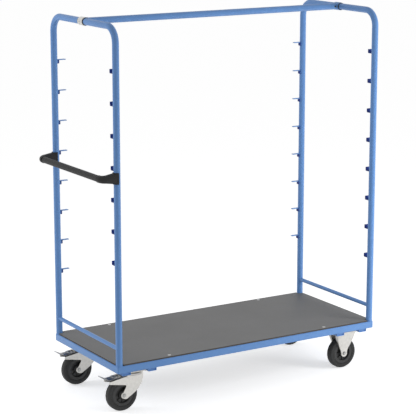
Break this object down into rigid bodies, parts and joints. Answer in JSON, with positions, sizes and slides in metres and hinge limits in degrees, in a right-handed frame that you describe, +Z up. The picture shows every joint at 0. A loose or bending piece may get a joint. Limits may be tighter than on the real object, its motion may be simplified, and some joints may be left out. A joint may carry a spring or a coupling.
{
  "type": "shelf trolley",
  "caption": "Open shelf trolley: board deck in a steel rail frame, bent tube end frames with shelf hooks, a tie tube across the top, a push handle, braked swivel casters and fixed casters.",
  "frame": {"origin": "on the floor under the centre of the overall outline, handle included", "axes": "+Z up; X along the deck, with the push handle at its low end; -Y is the front, where the hooks have upstands"},
  "size_m": [1.5858, 0.6706, 1.8682],
  "materials": {
    "blue_paint": "satin powder coat",
    "board": "matt grey film-faced board",
    "zinc": "bright zinc plate",
    "black_plastic": "fine-grained matt",
    "tyre": "matt solid rubber"
  },
  "bodies": {
    "trolley": {"front_left_frame": "blue_paint", "back_left_frame": "blue_paint", "front_right_frame": "blue_paint", "back_right_frame": "blue_paint", "left_cross_rail": "blue_paint", "right_cross_rail": "blue_paint", "front_rail": "blue_paint", "right_rail": "blue_paint", "back_rail": "blue_paint", "left_rail": "blue_paint", "left_outer_beam": "blue_paint", "left_inner_beam": "blue_paint", "right_inner_beam": "blue_paint", "right_outer_beam": "blue_paint", "deck_board": "board", "front_left_board_screw": "zinc", "front_right_board_screw": "zinc", "back_left_board_screw": "zinc", "back_right_board_screw": "zinc", "tie_tube": "blue_paint", "left_tie_saddle": "blue_paint", "left_tie_strap": "zinc", "left_tie_screw": "zinc", "right_tie_saddle": "blue_paint", "right_tie_strap": "zinc", "right_tie_screw": "zinc", "handle_bar": "black_plastic", "front_handle_bracket": "black_plastic", "back_handle_bracket": "black_plastic", "front_left_caster_plate": "zinc", "front_left_king_pin": "zinc", "back_left_caster_plate": "zinc", "back_left_king_pin": "zinc", "front_right_fork": "zinc", "front_right_axle": "zinc", "back_right_fork": "zinc", "back_right_axle": "zinc"},
    "front_left_swivel": {"front_left_fork": "zinc", "front_left_axle": "zinc", "front_left_brake_pin": "zinc"},
    "back_left_swivel": {"back_left_fork": "zinc", "back_left_axle": "zinc", "back_left_brake_pin": "zinc"},
    "front_left_wheel": {"front_left_tyre": "tyre", "front_left_rim": "black_plastic", "front_left_bearing": "zinc"},
    "back_left_wheel": {"back_left_tyre": "tyre", "back_left_rim": "black_plastic", "back_left_bearing": "zinc"},
    "front_right_wheel": {"front_right_tyre": "tyre", "front_right_rim": "black_plastic", "front_right_bearing": "zinc"},
    "back_right_wheel": {"back_right_tyre": "tyre", "back_right_rim": "black_plastic", "back_right_bearing": "zinc"},
    "front_left_brake": {"front_left_brake_lever": "zinc", "front_left_brake_tread": "zinc"},
    "back_left_brake": {"back_left_brake_lever": "zinc", "back_left_brake_tread": "zinc"}
  },
  "joints": [
    {"name": "front_left_swivel_turn", "type": "hinge", "parent": "trolley", "child": "front_left_swivel", "pos_m": [-0.5914, -0.235, 0.188], "axis": [0, 0, 1], "continuous": true},
    {"name": "back_left_swivel_turn", "type": "hinge", "parent": "trolley", "child": "back_left_swivel", "pos_m": [-0.5914, 0.235, 0.188], "axis": [0, 0, 1], "continuous": true},
    {"name": "front_left_wheel_roll", "type": "hinge", "parent": "front_left_swivel", "child": "front_left_wheel", "pos_m": [-0.6434, -0.235, 0.08], "axis": [0, 1, 0], "continuous": true},
    {"name": "back_left_wheel_roll", "type": "hinge", "parent": "back_left_swivel", "child": "back_left_wheel", "pos_m": [-0.6434, 0.235, 0.08], "axis": [0, 1, 0], "continuous": true},
    {"name": "front_right_wheel_roll", "type": "hinge", "parent": "trolley", "child": "front_right_wheel", "pos_m": [0.6556, -0.235, 0.08], "axis": [0, 1, 0], "continuous": true},
    {"name": "back_right_wheel_roll", "type": "hinge", "parent": "trolley", "child": "back_right_wheel", "pos_m": [0.6556, 0.235, 0.08], "axis": [0, 1, 0], "continuous": true},
    {"name": "front_left_brake_press", "type": "hinge", "parent": "front_left_swivel", "child": "front_left_brake", "pos_m": [-0.6234, -0.235, 0.1655], "axis": [0, -1, 0], "range_deg": [0, 12]},
    {"name": "back_left_brake_press", "type": "hinge", "parent": "back_left_swivel", "child": "back_left_brake", "pos_m": [-0.6234, 0.235, 0.1655], "axis": [0, -1, 0], "range_deg": [0, 12]}
  ]
}
